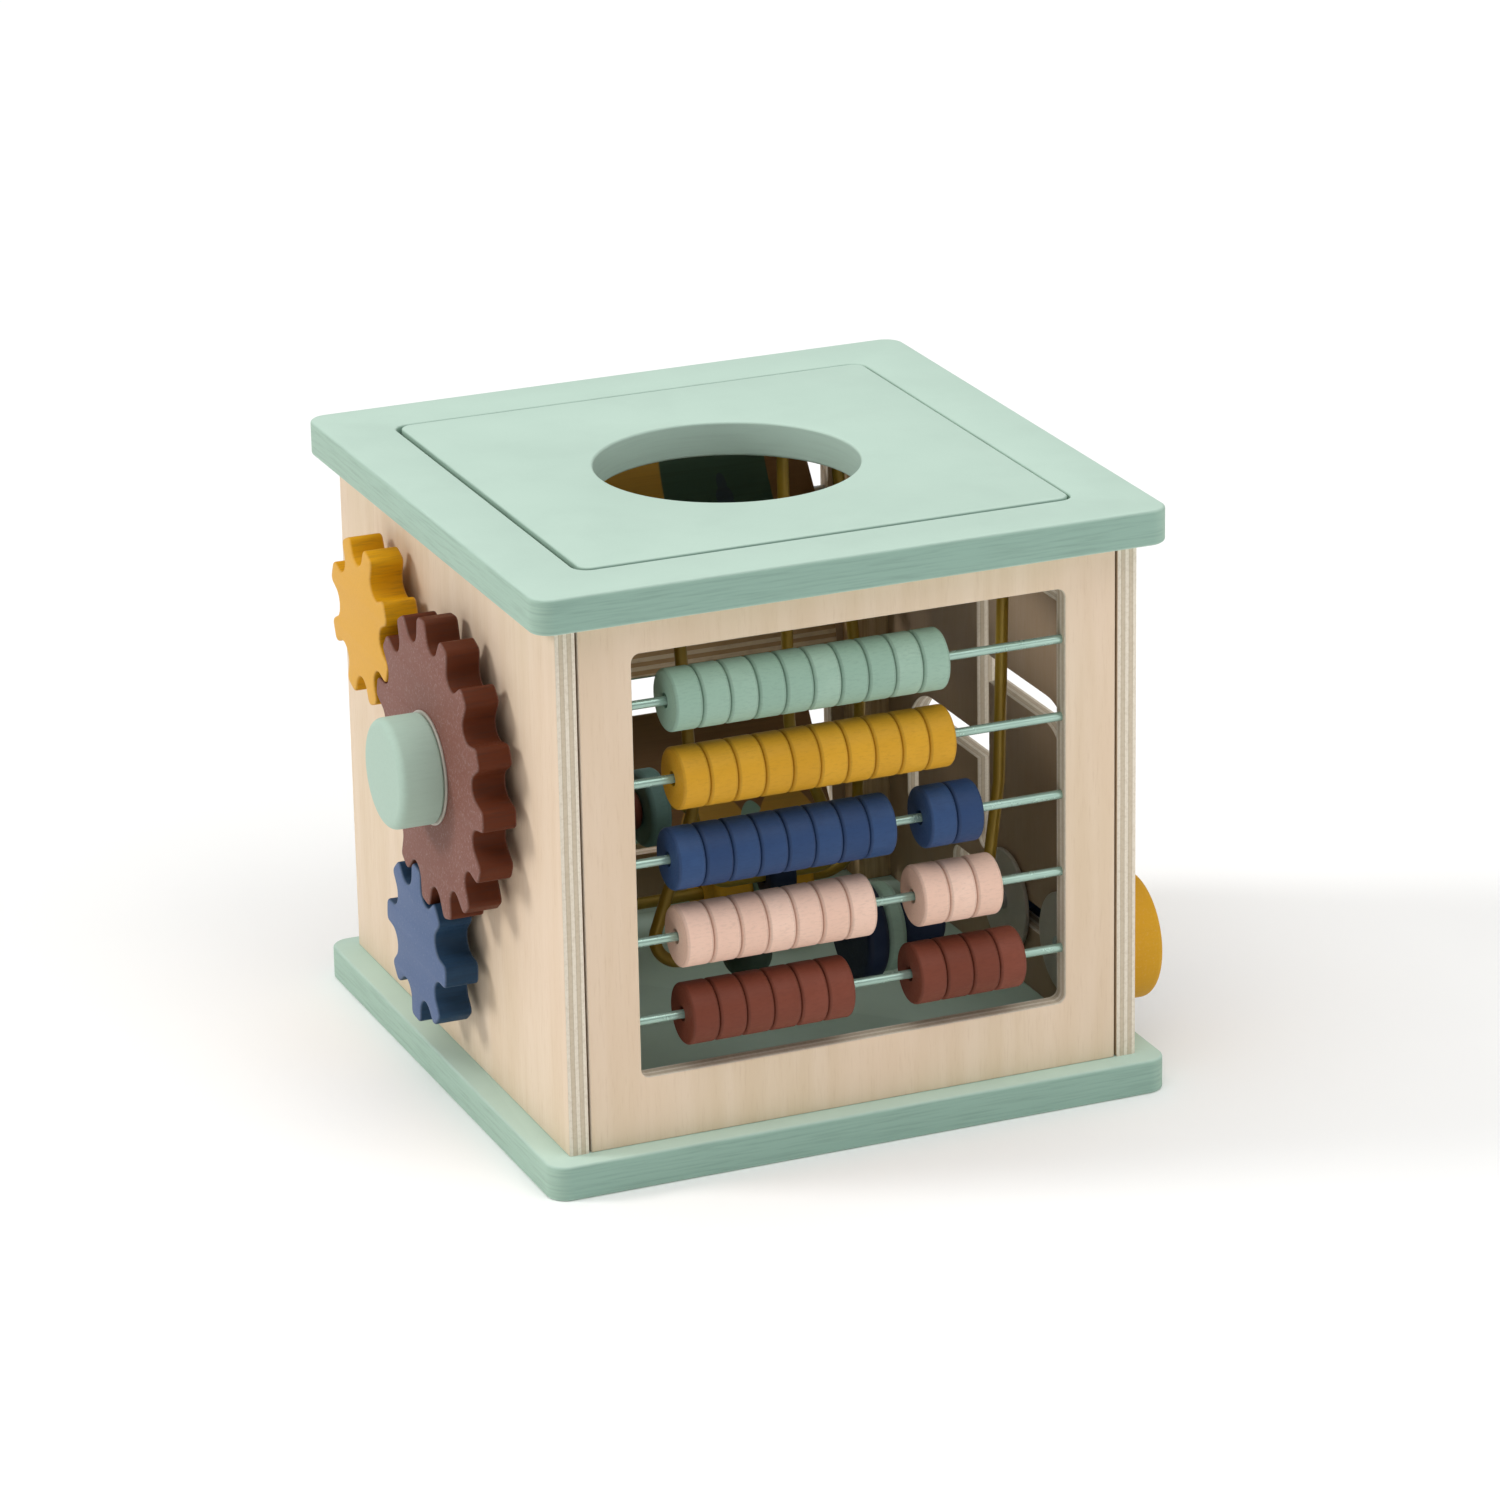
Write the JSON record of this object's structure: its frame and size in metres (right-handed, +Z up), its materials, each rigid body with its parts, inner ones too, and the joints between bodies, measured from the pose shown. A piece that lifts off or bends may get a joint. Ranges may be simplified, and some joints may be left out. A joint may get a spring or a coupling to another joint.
{
  "type": "activity cube",
  "caption": "Wooden toddler activity cube: abacus front, meshed gears, slider maze, turning picture blocks, lift-out lid with posting hole and bead maze.",
  "frame": {"origin": "middle of the underside of the base board", "axes": "+X along the abacus front from the gear side to the slider side, +Y from the front to the back, +Z up"},
  "size_m": [0.2522, 0.2322, 0.204],
  "materials": {
    "sage": "satin sage-green paint on wood",
    "sage_bead": "satin sage-green stain on beech",
    "birch": "bare sanded birch plywood",
    "oak": "bare sanded hardwood",
    "mustard": "satin mustard paint on wood",
    "blue": "satin dusty-blue paint on wood",
    "navy": "satin navy paint on wood",
    "pink": "satin pale-pink paint on wood",
    "terracotta": "satin terracotta paint on wood",
    "green": "satin dark-green paint on wood",
    "rod_green": "smooth sage-green enamel",
    "wire_olive": "smooth olive-mustard enamel",
    "steel": "bright zinc",
    "nylon": "off-white nylon"
  },
  "bodies": {
    "cube": {"base_plate": "sage", "top_frame": "sage", "lid_rails": "oak", "gear_wall": "birch", "slider_wall": "birch", "abacus_panel": "birch", "back_panel": "birch", "corner_posts": "oak", "base_screws": "steel", "abacus_rods": "rod_green", "block_rods": "steel", "gear_washers": "nylon"},
    "lid_and_maze": {"lid": "sage", "front_wire": "wire_olive", "middle_wire": "wire_olive", "back_wire": "wire_olive"},
    "large_gear": {"big_gear": "terracotta", "knob_washer": "nylon", "gear_knob": "sage", "big_axle": "oak", "big_axle_cap": "oak"},
    "upper_gear": {"mustard_gear": "mustard", "mustard_axle": "oak", "mustard_axle_cap": "oak"},
    "lower_gear": {"blue_gear": "blue", "blue_axle": "oak", "blue_axle_cap": "oak"},
    "low_block": {"block_low": "mustard"},
    "middle_block": {"block_middle": "sage"},
    "high_block": {"block_high": "green"},
    "low_slider": {"slider_a_knob": "mustard", "slider_a_cap": "nylon", "slider_a_screw": "steel"},
    "middle_slider": {"slider_b_knob": "blue", "slider_b_cap": "nylon", "slider_b_screw": "steel"},
    "high_slider": {"slider_c_knob": "terracotta", "slider_c_cap": "nylon", "slider_c_screw": "steel"},
    "sage_row": {"sage_beads": "sage_bead"},
    "mustard_row": {"mustard_beads": "mustard"},
    "blue_row_left": {"blue_beads_left": "blue"},
    "blue_row_right": {"blue_beads_right": "blue"},
    "pink_row_left": {"pink_beads_left": "pink"},
    "pink_row_right": {"pink_beads_right": "pink"},
    "brown_row_left": {"brown_beads_left": "terracotta"},
    "brown_row_right": {"brown_beads_right": "terracotta"},
    "front_maze_ball": {"maze_green_ball": "green"},
    "front_maze_beads": {"maze_sage_disc": "sage_bead", "maze_navy_disc": "navy", "maze_navy_barrel": "navy"},
    "back_maze_beads": {"maze_mustard_discs": "mustard", "maze_thin_disc": "sage_bead"},
    "upper_maze_beads": {"maze_teal_disc": "sage_bead", "maze_brown_bead": "terracotta"},
    "lower_maze_bead": {"maze_navy_bead": "navy"}
  },
  "joints": [
    {"name": "lid_lift", "type": "slide", "parent": "cube", "child": "lid_and_maze", "axis": [0, 0, 1], "range_m": [0, 0.2]},
    {"name": "large_gear_turn", "type": "hinge", "parent": "cube", "child": "large_gear", "pos_m": [-0.1105, -0.022, 0.1215], "axis": [1, 0, 0], "continuous": true},
    {"name": "upper_gear_turn", "type": "hinge", "parent": "cube", "child": "upper_gear", "pos_m": [-0.1105, 0.04232, 0.15204], "axis": [1, 0, 0], "continuous": true},
    {"name": "lower_gear_turn", "type": "hinge", "parent": "cube", "child": "lower_gear", "pos_m": [-0.1105, -0.00285, 0.05292], "axis": [1, 0, 0], "continuous": true},
    {"name": "low_block_turn", "type": "hinge", "parent": "cube", "child": "low_block", "pos_m": [0, 0.0985, 0.057], "axis": [1, 0, 0], "continuous": true},
    {"name": "middle_block_turn", "type": "hinge", "parent": "cube", "child": "middle_block", "pos_m": [0, 0.0985, 0.106], "axis": [1, 0, 0], "continuous": true},
    {"name": "high_block_turn", "type": "hinge", "parent": "cube", "child": "high_block", "pos_m": [0, 0.0985, 0.155], "axis": [1, 0, 0], "continuous": true},
    {"name": "low_slider_climb", "type": "slide", "parent": "cube", "child": "low_slider", "axis": [0, 0, 1], "range_m": [0, 0.06]},
    {"name": "middle_slider_run", "type": "slide", "parent": "cube", "child": "middle_slider", "axis": [0, 1, 0], "range_m": [-0.002, 0.04]},
    {"name": "high_slider_run", "type": "slide", "parent": "cube", "child": "high_slider", "axis": [0, 1, 0], "range_m": [-0.102, 0.012]},
    {"name": "sage_row_slide", "type": "slide", "parent": "cube", "child": "sage_row", "axis": [1, 0, 0], "range_m": [-0.0115, 0.043]},
    {"name": "mustard_row_slide", "type": "slide", "parent": "cube", "child": "mustard_row", "axis": [1, 0, 0], "range_m": [-0.0135, 0.0405]},
    {"name": "blue_left_slide", "type": "slide", "parent": "cube", "child": "blue_row_left", "axis": [1, 0, 0], "range_m": [-0.0115, 0.0055]},
    {"name": "blue_right_slide", "type": "slide", "parent": "cube", "child": "blue_row_right", "axis": [1, 0, 0], "range_m": [-0.0055, 0.031]},
    {"name": "pink_left_slide", "type": "slide", "parent": "cube", "child": "pink_row_left", "axis": [1, 0, 0], "range_m": [-0.0135, 0.0078]},
    {"name": "pink_right_slide", "type": "slide", "parent": "cube", "child": "pink_row_right", "axis": [1, 0, 0], "range_m": [-0.0078, 0.024]},
    {"name": "brown_left_slide", "type": "slide", "parent": "cube", "child": "brown_row_left", "axis": [1, 0, 0], "range_m": [-0.015, 0.011]},
    {"name": "brown_right_slide", "type": "slide", "parent": "cube", "child": "brown_row_right", "axis": [1, 0, 0], "range_m": [-0.011, 0.016]},
    {"name": "front_ball_slide", "type": "slide", "parent": "lid_and_maze", "child": "front_maze_ball", "axis": [1, 0, 0], "range_m": [-0.015, 0.014]},
    {"name": "front_beads_slide", "type": "slide", "parent": "lid_and_maze", "child": "front_maze_beads", "axis": [1, 0, 0], "range_m": [-0.014, 0.006]},
    {"name": "back_beads_slide", "type": "slide", "parent": "lid_and_maze", "child": "back_maze_beads", "axis": [1, 0, 0], "range_m": [-0.057, 0.0065]},
    {"name": "upper_beads_slide", "type": "slide", "parent": "lid_and_maze", "child": "upper_maze_beads", "axis": [1, 0, 0], "range_m": [-0.0195, 0.004]},
    {"name": "lower_bead_slide", "type": "slide", "parent": "lid_and_maze", "child": "lower_maze_bead", "axis": [1, 0, 0], "range_m": [-0.012, 0.009]}
  ],
  "couplings": [
    {"joint": "upper_gear_turn", "follows": "large_gear_turn", "ratio": -1.875},
    {"joint": "lower_gear_turn", "follows": "large_gear_turn", "ratio": -1.875}
  ]
}
